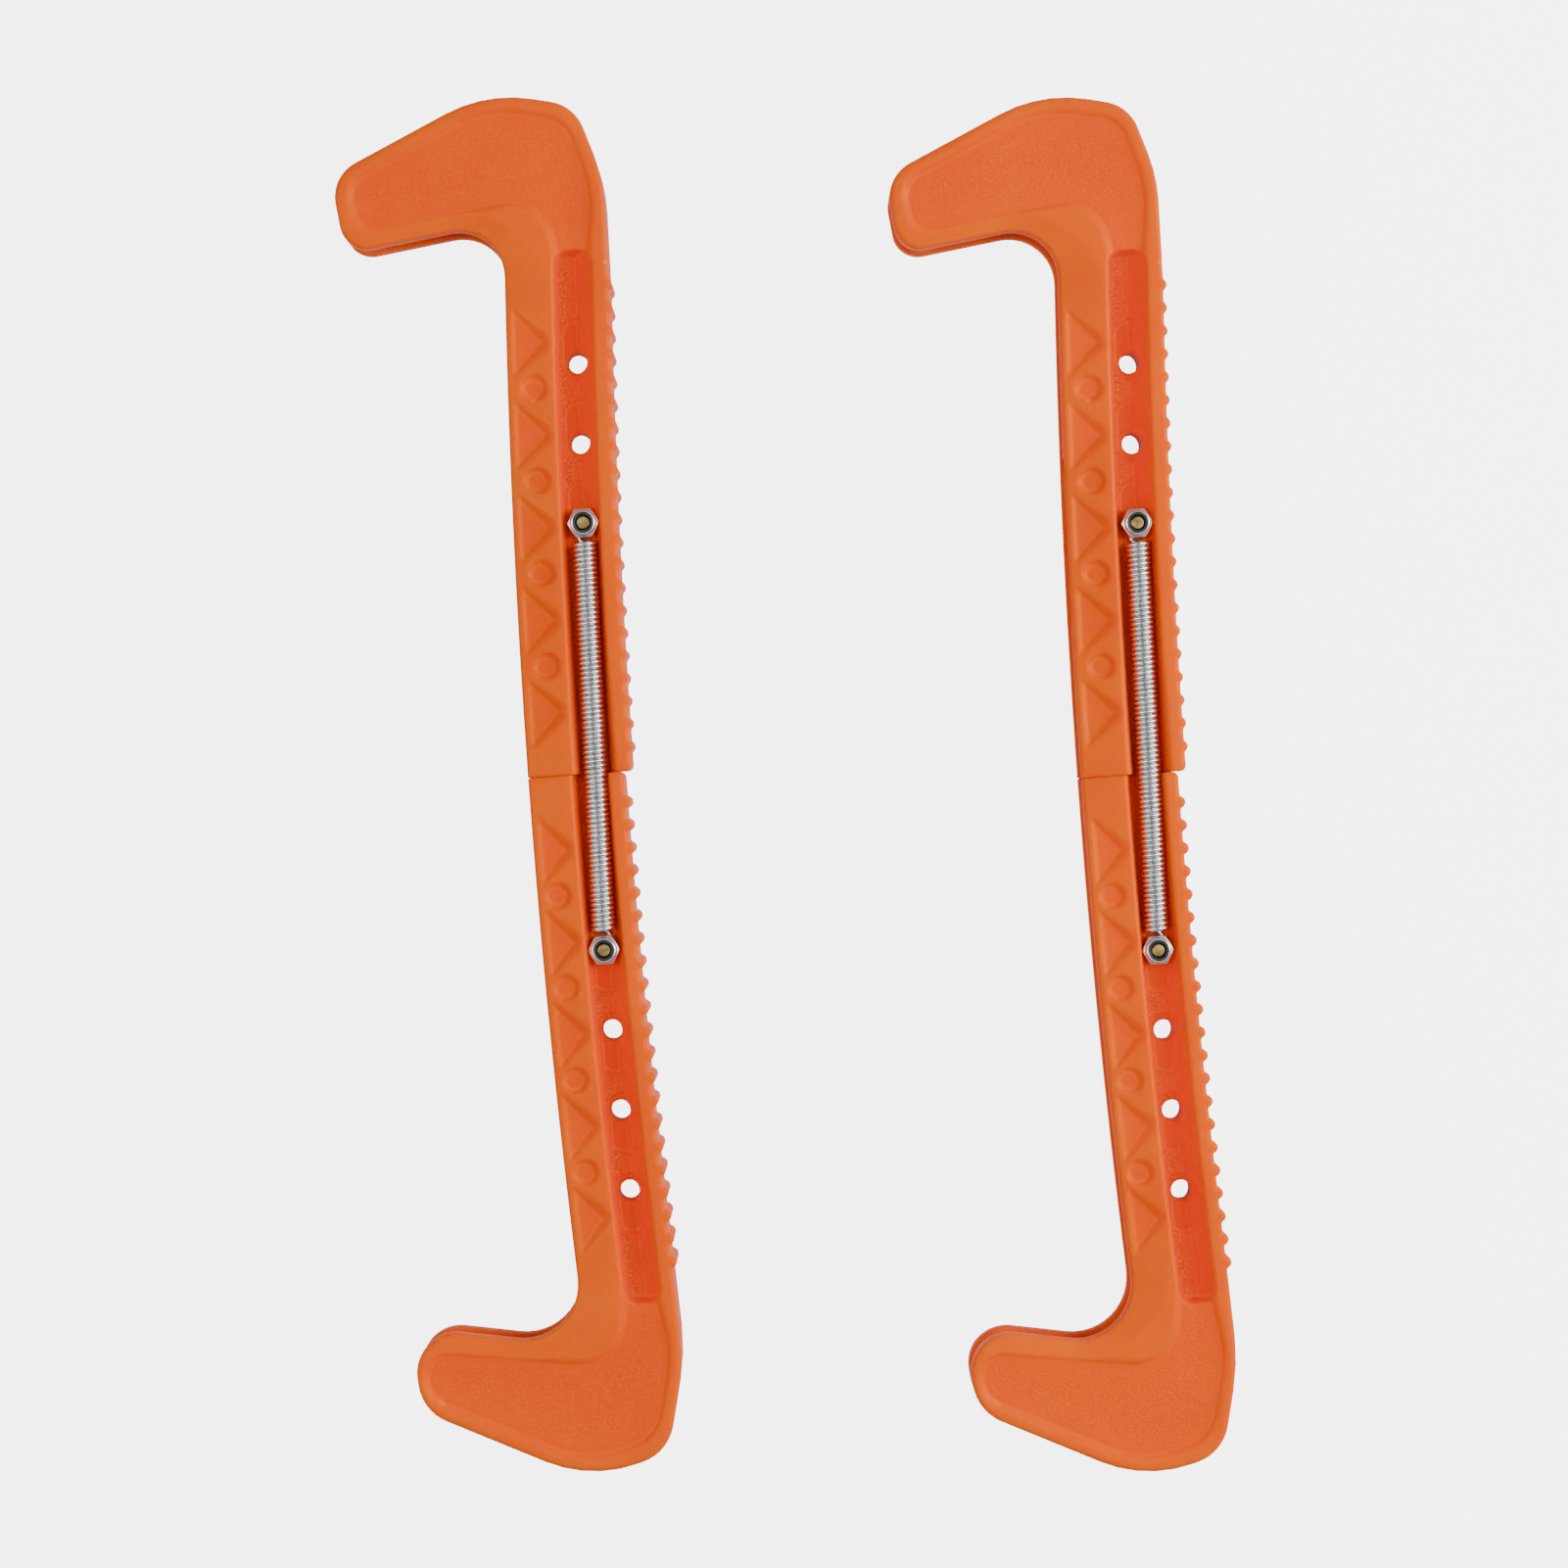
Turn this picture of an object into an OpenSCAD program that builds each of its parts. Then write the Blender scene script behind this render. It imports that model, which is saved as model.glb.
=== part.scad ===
// Pair of spring-loaded, adjustable ice skate blade guards, lying flat on their sides.
// Each guard is worked out in its own frame: Y runs along the blade from heel to toe, X from
// the open rim (0) towards the walking tread, Z through the thickness, and Y = 0 is the split.
// Millimetres throughout. "Depth" is the distance in from the rim, and "half" values are
// distances from the guard's middle plane.

/* [Guard body] */
// Thickness of a guard across both side walls
thickness = 14; // [13.8:0.2:16]
// Radius of the long bow that the rim and the tread follow
bow_radius = 1860; // [1500:20:2600]
// Gap between the toe half and the heel half when closed
split_gap = 0.5; // [0.4:0.1:1]
// Height of the toe half, rim to tread
toe_height = 20.2; // [20:0.1:20.8]
// Height of the heel half, rim to tread
heel_height = 18.6; // [18.4:0.1:19]

/* [Blade channel] */
// Width of the channel that the blade runs in
channel_w = 4.8; // [4.2:0.1:5]
// Depth of the channel below the rim
channel_depth = 6.6; // [6:0.1:6.8]

/* [Sliding tongue] */
// Length of the tongue beyond the split
tongue_len = 60; // [50:1:60]
// Width of the tongue across its walls
tongue_w = 8; // [7.6:0.1:8]
// Clearance between tongue and socket on each side
slide_clearance = 0.3; // [0.25:0.05:0.35]
// Length of the lips that keep the tongue in its socket
lip_len = 30; // [15:1:34]

/* [Spring grooves] */
// Thickness of the web left between the two grooves
web = 3.8; // [3.6:0.1:4]
// Extra height of the textured floor between the bolt seats
floor_step = 0.5; // [0.3:0.1:0.6]
// Diameter of the through holes for the spring bolts
hole_d = 3.8; // [3.4:0.1:4]
// Distance between neighbouring bolt holes
hole_pitch = 15.8; // [15:0.1:16]

/* [Tread] */
// Distance between neighbouring tread ribs
rib_pitch = 4.52; // [4.4:0.02:4.6]
// Number of ribs on each half
rib_count = 21; // [5:1:21]
// Radius of a rib
rib_r = 1.2; // [1:0.05:1.4]

/* [Side wall pattern] */
// Distance between one recessed disc and the next
motif_pitch = 18; // [17.5:0.1:18.2]
// Diameter of a recessed disc
disc_d = 5.1; // [4:0.1:5.4]
// Distance of the recess floors from the middle plane
motif_half = 5.9; // [5.8:0.05:6.2]
// Depth of the sunk panel on the hooks
panel_depth = 0.8; // [0.4:0.1:1]

/* [Springs and fasteners] */
// Wire diameter of the springs
wire_d = 0.95; // [0.8:0.05:0.95]
// Outside diameter of the springs
spring_d = 4.8; // [4.4:0.1:4.9]
// Diameter of the bolts
bolt_d = 3; // [2.9:0.1:3]
// Width of the nuts across flats
nut_af = 5.5; // [5.4:0.1:5.5]
// Height of the nuts
nut_h = 3.9; // [3.6:0.1:3.95]

/* [Pair] */
// Sideways distance from one guard to the other
pair_x = 107.1; // [100:0.1:140]
// Lengthwise distance from one guard to the other
pair_y = -7.8; // [-20:0.1:20]

/* [Hidden] */
mid = thickness / 2;
over = 2;
far_out = 50;
arc_fn = 1440;
round_fn = 48;
slant_half = 5.93;
slant_foot = 0.9;
edge_break = 0.9;
toe_ridge = 9.4;
toe_groove_end = 17.1;
heel_ridge = 8.55;
heel_groove_end = 15.9;
toe_bow_len = 96;
heel_bow_len = 97;
toe_groove_len = 102.5;
heel_groove_len = 104;
toe_bolt_depth = 13.65;
toe_bolt_y = 49;
heel_bolt_depth = 12;
heel_bolt_y = -34.5;
toe_rib_y = 4.9;
heel_rib_y = -6;
rib_sunk = 0.55;
heel_rib_sunk = 0.2;
seat_r = 2.9;
seat_len = 6.8;
seat_over = 1.45;
seat_near_r = 2.89;
seat_far_r = 2.3;
toe_tri_y = 12.4;
toe_disc_y = 21.45;
toe_disc_depth = 4.95;
toe_tip_depth = 8;
heel_tri_y = -14.4;
heel_disc_y = -23.2;
heel_disc_depth = 3.8;
heel_tip_depth = 7.3;
tri_count = 5;
tri_half_len = 7.8;
tri_base_depth = 0.8;
tri_tip_r = 1.4;
tongue_rim_depth = 1.35;
tongue_floor_depth = 8;
tongue_channel_depth = 6.8;
tongue_root = 4;
lip_depth = 1.05;
lip_gap = 5.2;
socket_extra = 2;
coil_gap = 3.7;
coils = 80;
coil_steps = 4;
loop_r = 2.1;
seat_lift = 0.05;
nut_bore_gap = 0.03;
insert_r = 2;
insert_h = 1.2;
bolt_head_d = 5.6;
bolt_head_h = 2.2;
drive_w = 0.8;
drive_len = 3.2;
drive_deep = 1.2;
bolt_end_drop = 0.6;

orange = "#ff6a13";
steel = "#c9cdd0";
zinc = "#b9bec4";
yellow_zinc = "#c8a24a";
nylon = "#1d1d1f";

// A place given by its depth below the rim and its distance along the rim
function at(depth, along) =
    let (turn = along / bow_radius * 180 / PI, r = bow_radius - depth)
    [bow_radius - r * cos(turn), r * sin(turn)];

// A stretch of the bow at one depth, as corner points without rounding
function bow(depth, from, to, steps = 12) =
    [for (i = [0:steps]) let (p = at(depth, from + (to - from) * i / steps)) [p[0], p[1], 0]];

function unit(v) = v / norm(v);
function short_turn(a) = a > 180 ? a - 360 : (a < -180 ? a + 360 : a);

// Points of the arc that rounds the corner p between its neighbours
function fillet(before, p, after, r) =
    let (
        a = unit(before - p),
        b = unit(after - p),
        half = acos(a * b) / 2,
        centre = p + unit(a + b) * r / sin(half),
        start = p + a * r / tan(half) - centre,
        end = p + b * r / tan(half) - centre,
        from = atan2(start[1], start[0]),
        sweep = short_turn(atan2(end[1], end[0]) - from),
        steps = max(2, ceil(abs(sweep) / 11))
    )
    [for (i = [0:steps]) centre + r * [cos(from + sweep * i / steps), sin(from + sweep * i / steps)]];

// Outline through corners given as [x, y, rounding radius]
function rounded(c) =
    let (n = len(c))
    [for (i = [0:n - 1])
        let (p = [c[i][0], c[i][1]], q = c[(i + n - 1) % n], s = c[(i + 1) % n])
        each (c[i][2] == 0 ? [p] : fillet([q[0], q[1]], p, [s[0], s[1]], c[i][2]))];

toe_outline = rounded(concat(
    bow(0, split_gap / 2, toe_bow_len),
    [[3, 108.1, 9], [-27.9, 104, 5], [-29.7, 119, 7.5], [1.7, 133.2, 27], [18.5, 129.3, 8],
     [23, 115.2, 30]],
    bow(toe_height, toe_bow_len, split_gap / 2 + 1.6),
    [[toe_height, split_gap / 2, 1.2]]
));

heel_outline = rounded(concat(
    bow(0, -split_gap / 2, -heel_bow_len + 1),
    [[2.9, -110.7, 10.7], [-30.5, -104.6, 7.5], [-29.2, -120.8, 9], [2.5, -136.5, 25],
     [17.9, -132.2, 9], [21.9, -115, 40]],
    bow(heel_height, -heel_bow_len, -split_gap / 2 - 1.6),
    [[heel_height, -split_gap / 2, 1.2]]
));

toe_slot = rounded(concat(
    [[-far_out, tongue_len - 5, 0]],
    bow(channel_depth, tongue_len - 5, 100),
    [[9, 126.2, 5], [1.5, 128.3, 10], [-far_out, 104.9, 0]]
));

heel_slot = rounded(concat(
    [[-far_out, 1, 0]],
    bow(channel_depth, 1, -100),
    [[9, -128, 5], [2, -130.6, 9], [-far_out, -104.8, 0]]
));

toe_panel = rounded([
    [13.6, 98, 0], [18.2, 98, 0], [20.3, 113, 25], [16.2, 126.4, 6], [1.5, 129.6, 20],
    [-26, 117.2, 4.5], [-24.6, 107.9, 3.5], [11.9, 112.6, 9]
]);

heel_panel = rounded([
    [12.4, -99, 0], [16.9, -99, 0], [19.2, -113, 20], [15.6, -128.6, 8], [2.5, -132.9, 18],
    [-27.3, -118.1, 5], [-27.6, -109.8, 4], [9.9, -115.3, 9]
]);

min_x = min([for (p = heel_outline) p[0]]);
max_x = pair_x + max([for (p = toe_outline) p[0]]);
min_y = min([for (p = heel_outline) p[1]]) + min(0, pair_y);
max_y = max([for (p = toe_outline) p[1]]) + max(0, pair_y);
left_place = [-(min_x + max_x) / 2, -(min_y + max_y) / 2, 0];
right_place = left_place + [pair_x, pair_y, 0];

toe_bolt = at(toe_bolt_depth, toe_bolt_y);
heel_bolt = at(heel_bolt_depth, heel_bolt_y);
spring_run = toe_bolt - heel_bolt;
spring_turn = atan2(spring_run[1], spring_run[0]) - 90;
spring_half = web / 2 + 0.2 + spring_d / 2;
loop_half = web / 2 + seat_lift + wire_d / 2;
clamp_half = loop_half + wire_d / 2 + seat_lift;

// Draws its children on both side faces, the second time mirrored through the middle plane
module both_faces() {
    children();
    translate([0, 0, thickness]) mirror([0, 0, 1]) children();
}

// A prism through the middle plane
module centred(outline, width) {
    translate([0, 0, mid - width / 2]) linear_extrude(width) polygon(outline);
}

// A pocket in the upper face, down to a distance from the middle plane
module pocket(outline, half) {
    translate([0, 0, mid + half]) linear_extrude(thickness) polygon(outline);
}

// A cutter that follows the bow, with a section given as [depth, distance from the middle plane]
module bow_cut(section, from, to) {
    turn = 180 / PI / bow_radius;
    translate([bow_radius, 0, mid])
        rotate([0, 0, 180 - max(from, to) * turn])
            rotate_extrude(angle = abs(to - from) * turn, $fn = arc_fn)
                polygon([for (p = section) [bow_radius - p[0], p[1]]]);
}

// Leans the channel wall back towards the rim and breaks the rim edge and the tread edge
module edge_cuts(height, from, to) {
    wall_end = toe_ridge - 1;
    bow_cut([[-over, slant_half - slant_foot - over], [slant_foot, slant_half], [wall_end, mid],
             [wall_end, mid + over], [-over, mid + over]], from, to);
    bow_cut([[height - edge_break, mid], [height + over, mid - over - edge_break],
             [height + over, mid + over], [height - edge_break, mid + over]], from, to);
}

// Half-round ribs across the tread
module ribs(height, first, step, sunk) {
    for (i = [0:rib_count - 1]) {
        p = at(height - sunk, first + i * step);
        translate([p[0], p[1], 0]) cylinder(r = rib_r, h = thickness, $fn = round_fn);
    }
}

// Round-ended seat that runs from a bolt hole away from the split
module seat(depth, along, run) {
    p = at(depth, along);
    q = at(depth, along + run);
    side = run > 0 ? 1 : -1;
    pocket(rounded([
        [p[0] - seat_r, p[1] - side * seat_r, seat_near_r],
        [p[0] + seat_r, p[1] - side * seat_r, seat_near_r],
        [q[0] + seat_r, q[1] + side * seat_over, seat_far_r],
        [q[0] - seat_r, q[1] + side * seat_over, seat_far_r]
    ]), web / 2);
}

// Disc and arrowhead recesses in the channel wall
module motifs(tri_y, disc_y, step, disc_depth, tip_depth) {
    for (i = [0:tri_count - 2]) {
        p = at(disc_depth, disc_y + i * step);
        translate([p[0], p[1], mid + motif_half]) cylinder(d = disc_d, h = thickness, $fn = round_fn);
    }
    for (i = [0:tri_count - 1]) {
        c = tri_y + i * step;
        low = at(tri_base_depth, c - tri_half_len);
        tip = at(tip_depth, c);
        high = at(tri_base_depth, c + tri_half_len);
        pocket(rounded([[low[0], low[1], 0], [tip[0], tip[1], tri_tip_r], [high[0], high[1], 0]]),
            motif_half);
    }
}

module bolt_hole(depth, along) {
    p = at(depth, along);
    translate([p[0], p[1], -over]) cylinder(d = hole_d, h = thickness + 2 * over, $fn = round_fn);
}

// Cuts one face's spring groove: a shallow part for the spare holes, a deep part for the spring
module groove(ridge, edge, length, bolt_y) {
    side = length > 0 ? 1 : -1;
    pocket(rounded(concat(
        bow(ridge, -side, length - side * 4),
        [concat(at(ridge, length), 3), concat(at(edge, length), 3)],
        bow(edge, length - side * 4, -side)
    )), web / 2 + floor_step);
    pocket(rounded(concat(
        bow(ridge, -side, bolt_y),
        bow(edge, bolt_y, -side)
    )), web / 2);
}

// Straight tunnel for the tongue, with lips over its rim side near the split
module socket() {
    half = tongue_w / 2 + slide_clearance;
    reach = tongue_len + socket_extra;
    translate([lip_depth, -over, mid - half])
        cube([tongue_floor_depth + slide_clearance - lip_depth, reach + over, 2 * half]);
    translate([-over, lip_len, mid - half])
        cube([lip_depth + 2 * over, reach - lip_len, 2 * half]);
    translate([-over, -over, mid - lip_gap / 2])
        cube([lip_depth + 2 * over, lip_len + 2 * over, lip_gap]);
}

module toe_shell() {
    color(orange) difference() {
        union() {
            linear_extrude(thickness) polygon(toe_outline);
            ribs(toe_height, toe_rib_y, rib_pitch, rib_sunk);
        }
        centred(toe_slot, channel_w);
        socket();
        both_faces() {
            edge_cuts(toe_height, -1, toe_bow_len - 1);
            groove(toe_ridge, toe_groove_end, toe_groove_len, toe_bolt_y);
            pocket(toe_panel, mid - panel_depth);
            motifs(toe_tri_y, toe_disc_y, motif_pitch, toe_disc_depth, toe_tip_depth);
            for (i = [0:2]) seat(toe_bolt_depth, toe_bolt_y + i * hole_pitch, seat_len);
        }
        for (i = [0:2]) bolt_hole(toe_bolt_depth, toe_bolt_y + i * hole_pitch);
    }
}

// Solid block of the tongue, with its root inside the heel half
module tongue_block() {
    translate([tongue_rim_depth, -tongue_root, mid - tongue_w / 2])
        cube([tongue_floor_depth - tongue_rim_depth, tongue_len + tongue_root, tongue_w]);
}

// The blade channel where it runs through the tongue
module tongue_channel() {
    translate([-far_out, -split_gap, mid - channel_w / 2])
        cube([far_out + tongue_channel_depth, tongue_len + split_gap + over, channel_w]);
}

module heel_shell() {
    color(orange) difference() {
        union() {
            linear_extrude(thickness) polygon(heel_outline);
            ribs(heel_height, heel_rib_y, -rib_pitch, heel_rib_sunk);
            tongue_block();
        }
        centred(heel_slot, channel_w);
        tongue_channel();
        both_faces() {
            edge_cuts(heel_height, 0.2, -heel_bow_len);
            groove(heel_ridge, heel_groove_end, -heel_groove_len, heel_bolt_y);
            pocket(heel_panel, mid - panel_depth);
            motifs(heel_tri_y, heel_disc_y, -motif_pitch, heel_disc_depth, heel_tip_depth);
            for (i = [0:3]) seat(heel_bolt_depth, heel_bolt_y - i * hole_pitch, -seat_len);
        }
        for (i = [0:3]) bolt_hole(heel_bolt_depth, heel_bolt_y - i * hole_pitch);
    }
}

// Ring of wire round a bolt, and the wire that leads from it into the coils
module spring_loop(lead) {
    rotate_extrude($fn = round_fn) translate([loop_r, 0]) circle(d = wire_d, $fn = 16);
    translate([0, lead * loop_r, 0]) rotate([-90 * lead, 0, 0])
        cylinder(d = wire_d, h = coil_gap - loop_r + wire_d / 2, $fn = 16);
}

// Close-wound coils as one ridged sleeve along Y
module coil_sleeve(length) {
    pitch = length / coils;
    mean = (spring_d - wire_d) / 2;
    bulge = wire_d / 2;
    outer = [for (i = [0:coils - 1]) for (k = [0:coil_steps - 1])
        [mean + bulge * sin(180 * k / coil_steps), pitch * (i + k / coil_steps)]];
    rotate([-90, 0, 0]) rotate_extrude($fn = round_fn)
        polygon(concat(outer, [[mean, length], [mean - bulge, length], [mean - bulge, 0]]));
}

module spring() {
    coil_length = norm(spring_run) - 2 * coil_gap;
    color(steel) translate([heel_bolt[0], heel_bolt[1], mid]) rotate([0, 0, spring_turn]) union() {
        translate([0, coil_gap, spring_half]) coil_sleeve(coil_length);
        translate([0, 0, loop_half]) spring_loop(1);
        translate([0, norm(spring_run), loop_half]) spring_loop(-1);
    }
}

module near_spring() {
    spring();
}

module far_spring() {
    translate([0, 0, thickness]) mirror([0, 0, 1]) spring();
}

module bolt(place) {
    shank = 2 * clamp_half + nut_h - bolt_end_drop;
    color(yellow_zinc) translate([place[0], place[1], mid - clamp_half]) difference() {
        union() {
            cylinder(d = bolt_d, h = shank, $fn = round_fn);
            translate([0, 0, -bolt_head_h]) cylinder(d = bolt_head_d, h = bolt_head_h, $fn = round_fn);
        }
        for (turn = [0, 90]) rotate([0, 0, turn])
            translate([-drive_len / 2, -drive_w / 2, -bolt_head_h - over])
                cube([drive_len, drive_w, drive_deep + over]);
    }
}

module nut(place) {
    corner_r = nut_af / sqrt(3);
    top_r = nut_af / 2 - 0.1;
    break_h = (corner_r - top_r) * tan(30);
    color(zinc) translate([place[0], place[1], mid + clamp_half]) difference() {
        intersection() {
            cylinder(r = corner_r, h = nut_h, $fn = 6);
            rotate_extrude($fn = round_fn)
                polygon([[0, 0], [top_r, 0], [corner_r + 0.05, break_h], [corner_r + 0.05, nut_h - break_h],
                         [top_r, nut_h], [0, nut_h]]);
        }
        translate([0, 0, -over])
            cylinder(r = bolt_d / 2 + nut_bore_gap, h = nut_h + 2 * over, $fn = round_fn);
        translate([0, 0, nut_h - insert_h - 0.2])
            cylinder(r = insert_r + nut_bore_gap, h = nut_h, $fn = round_fn);
    }
}

module nut_insert(place) {
    color(nylon) translate([place[0], place[1], mid + clamp_half + nut_h - insert_h - 0.15])
        difference() {
            cylinder(r = insert_r, h = insert_h, $fn = round_fn);
            translate([0, 0, -over])
                cylinder(r = bolt_d / 2 + nut_bore_gap, h = insert_h + 2 * over, $fn = round_fn);
        }
}

module on_left() {
    translate(left_place) children();
}

module on_right() {
    translate(right_place) children();
}

on_left() toe_shell();  // left_toe_shell
on_left() heel_shell();  // left_heel_shell
on_left() near_spring();  // left_near_spring
on_left() far_spring();  // left_far_spring
on_left() bolt(toe_bolt);  // left_toe_bolt
on_left() bolt(heel_bolt);  // left_heel_bolt
on_left() nut(toe_bolt);  // left_toe_nut
on_left() nut(heel_bolt);  // left_heel_nut
on_left() nut_insert(toe_bolt);  // left_toe_nut_insert
on_left() nut_insert(heel_bolt);  // left_heel_nut_insert
on_right() toe_shell();  // right_toe_shell
on_right() heel_shell();  // right_heel_shell
on_right() near_spring();  // right_near_spring
on_right() far_spring();  // right_far_spring
on_right() bolt(toe_bolt);  // right_toe_bolt
on_right() bolt(heel_bolt);  // right_heel_bolt
on_right() nut(toe_bolt);  // right_toe_nut
on_right() nut(heel_bolt);  // right_heel_nut
on_right() nut_insert(toe_bolt);  // right_toe_nut_insert
on_right() nut_insert(heel_bolt);  // right_heel_nut_insert
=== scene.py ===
"""A pair of adjustable skate blade guards in orange plastic, lying flat on their sides.

Each guard is worked out in millimetres in its own frame: X from the open rim to the walking
tread, Y from heel to toe with the split at 0, Z through the thickness. Solids are written as
signed distances (negative inside) and turned into meshes by surface_mesh.
"""
import math

import bpy
import numpy as np
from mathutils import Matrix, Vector


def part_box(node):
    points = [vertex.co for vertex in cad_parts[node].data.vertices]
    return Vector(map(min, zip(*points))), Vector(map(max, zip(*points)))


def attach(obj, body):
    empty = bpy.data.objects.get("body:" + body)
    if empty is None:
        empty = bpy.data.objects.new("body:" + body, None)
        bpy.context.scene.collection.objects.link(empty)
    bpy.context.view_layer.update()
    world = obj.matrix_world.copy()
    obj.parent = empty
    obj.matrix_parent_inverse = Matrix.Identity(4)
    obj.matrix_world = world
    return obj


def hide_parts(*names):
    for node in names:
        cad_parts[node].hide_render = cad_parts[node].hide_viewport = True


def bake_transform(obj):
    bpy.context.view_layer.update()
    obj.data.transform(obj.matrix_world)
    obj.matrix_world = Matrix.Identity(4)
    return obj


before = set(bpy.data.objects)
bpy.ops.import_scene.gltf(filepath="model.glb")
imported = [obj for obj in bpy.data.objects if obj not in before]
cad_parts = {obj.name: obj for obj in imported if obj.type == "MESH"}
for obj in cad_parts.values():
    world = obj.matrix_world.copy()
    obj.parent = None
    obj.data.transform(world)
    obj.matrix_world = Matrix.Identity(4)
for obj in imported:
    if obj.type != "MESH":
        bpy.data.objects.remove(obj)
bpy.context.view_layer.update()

MM = 0.001
MID = 7.0              # height of the middle plane
OFF_X, OFF_Y = -60.0, -70.0    # a corner well off the guard, beyond the rim and the split

# Sampling
FINE = 0.15            # spacing of the plan tables
SHELL_STEP = 0.42      # spacing of the shells' sampling grid
SMALL_STEP = 0.08      # spacing of the fasteners' sampling grid

# Shells
BOW_R = 1860.0         # of the rim's gentle bow
LOOK_GAP = 0.004       # from the split to each half, which butt together when closed
CHANNEL_HALF = 2.4
CHANNEL_DEPTH = 6.6
RIM_HALF = 5.93        # from the middle plane to the side face at the rim
WEB_HALF = 1.9         # from the middle plane to the groove's floor at the seats
FLOOR_HALF = 2.4       # and between the seats
CORNER_W = 2.3         # width of the grainy fillet in the groove's rim-side corner
GROOVE_END_R = 3.0
END_SLOPE = 4.4        # of the groove's end and of its rim-side wall
SPRING_SLOPE_W = 1.5   # width of the groove's tread-side slope beside the spring
HOLE_R = 1.9
HOLE_PITCH = 15.8
SEAT_R = 2.9
SEAT_RUN = 5.4         # length of the straight stretch of a sunk seat
RIB_PITCH = 4.52
RIB_COUNT = 21
RIB_R = 1.2
MOTIF_PITCH = 18.0
MOTIF_HALF = 5.9
DISC_R = 2.55
ARROW_HALF = 7.8       # half the length of an arrowhead's base
PANEL_HALF = 6.2
PANEL_DISH = 0.15      # how much deeper a hook panel's middle is than its border
RECESS_SHADE_FADE = 1.3        # depth scale over which the painted shade, a deeper red, builds up in a recess

# The heel half's tongue and the toe half's socket for it
TONGUE_LEN = 60.0
TONGUE_HALF = 4.0
SOCKET_HALF = 4.3
SOCKET_SPARE = 2.0     # how much longer the socket is than the tongue
LIP_DEPTH = 1.05
LIP_LEN = 30.0

# Fasteners
CLAMP_HALF = 2.95      # from the middle plane to the nut's and the head's seat
NUT_FLATS = 5.5
NUT_HEX_H = 2.85
NUT_H = 3.9
COLLAR_R = 2.5
INSERT_R = 2.0
INSERT_H = 1.2
SNUG = 0.03            # clearance round the bolt and the insert
BOLT_R = 1.5
BOLT_SHORT = 0.6       # how far the bolt's end stops below the top of its nut
THREAD_PITCH = 0.5
THREAD_DEPTH = 0.28
HEAD_R = 2.8
HEAD_H = 2.2
DRIVE_HALF, DRIVE_REACH = 0.4, 1.6    # half the width and half the length of the cross drive

# Springs
SPRING_HALF = 4.5      # from the middle plane to the spring's centre line
COIL_R = 1.925
WIRE_R = 0.475
TURNS = 79
COIL_GAP = 3.7         # from a bolt's axis to the first turn
LOOP_R = 2.1
LOOP_HALF = 2.425      # from the middle plane to the end loop

# Depths are from the rim and alongs from the split. Outline corners are (x, distance from the split,
# rounding radius), from the rim round the hook.
TOE = dict(
    name="toe_shell", side=1, height=20.2, ridge=9.4, groove_end=17.1, groove_len=102.5, slope_w=3.5,
    soft_ridge=2.2, bolt_depth=13.65, bolt_along=49.0, holes=3, rib_along=4.9, rib_sunk=0.55,
    disc_depth=4.95, disc_along=21.45, tri_along=12.4, tip_depth=8.0, straight=96.0, band=4.0,
    hook=[(3, 108.1, 9), (-27.9, 104, 5), (-29.7, 119, 7.5), (1.7, 133.2, 27), (18.5, 129.3, 8),
          (23, 115.2, 30)],
    slot=[(9, 126.2, 5), (1.5, 128.3, 10), (-50, 104.9, 0)],
    panel=[(13.6, 98, 0), (18.2, 98, 0), (20.3, 113, 25), (16.2, 126.4, 6), (1.5, 129.6, 20),
           (-26, 117.2, 4.5), (-24.6, 107.9, 3.5), (11.9, 112.6, 9)],
)
HEEL = dict(
    name="heel_shell", side=-1, height=18.6, ridge=8.55, groove_end=15.9, groove_len=104.0, slope_w=3.2,
    soft_ridge=0.4, bolt_depth=12.0, bolt_along=34.5, holes=4, rib_along=6.0, rib_sunk=0.2,
    disc_depth=3.8, disc_along=23.2, tri_along=14.4, tip_depth=7.3, straight=97.0, band=4.4,
    hook=[(2.9, 110.7, 10.7), (-30.5, 104.6, 7.5), (-29.2, 120.8, 9), (2.5, 136.5, 25), (17.9, 132.2, 9),
          (21.9, 115, 40)],
    slot=[(9, 128, 5), (2, 130.6, 9), (-50, 104.8, 0)],
    panel=[(12.4, 99, 0), (16.9, 99, 0), (19.2, 113, 20), (15.6, 128.6, 8), (2.5, 132.9, 18),
           (-27.3, 118.1, 5), (-27.6, 109.8, 4), (9.9, 115.3, 9)],
)


# ---------------------------------------------------------------- distances and blends

def smooth_min(a, b, k):
    h = np.clip(0.5 + 0.5 * (b - a) / k, 0, 1)
    return b + (a - b) * h - k * h * (1 - h)


def smooth_max(a, b, k):
    return -smooth_min(-a, -b, k)


def meet(a, b, r):
    """What is inside both a and b, with the edge where they meet rounded to r."""
    return np.minimum(np.maximum(a, b) + r, 0) + np.hypot(np.maximum(a + r, 0), np.maximum(b + r, 0)) - r


def cut(a, b, r):
    """a without b, with the edges of the cut rounded to r."""
    return meet(a, -b, r)


def ease(low, high, t):
    u = np.clip((t - low) / (high - low), 0, 1)
    return u * u * (3 - 2 * u)


def slab(t, low, high):
    return np.abs(t - (low + high) / 2) - (high - low) / 2


def to_plane(depth, along):
    turn = along / BOW_R
    return BOW_R - (BOW_R - depth) * np.cos(turn), (BOW_R - depth) * np.sin(turn)


def bow(depth, start, end, steps=16):
    """Corners without rounding along the bow at one depth."""
    return [(*to_plane(depth, along), 0) for along in np.linspace(start, end, steps)]


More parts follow.
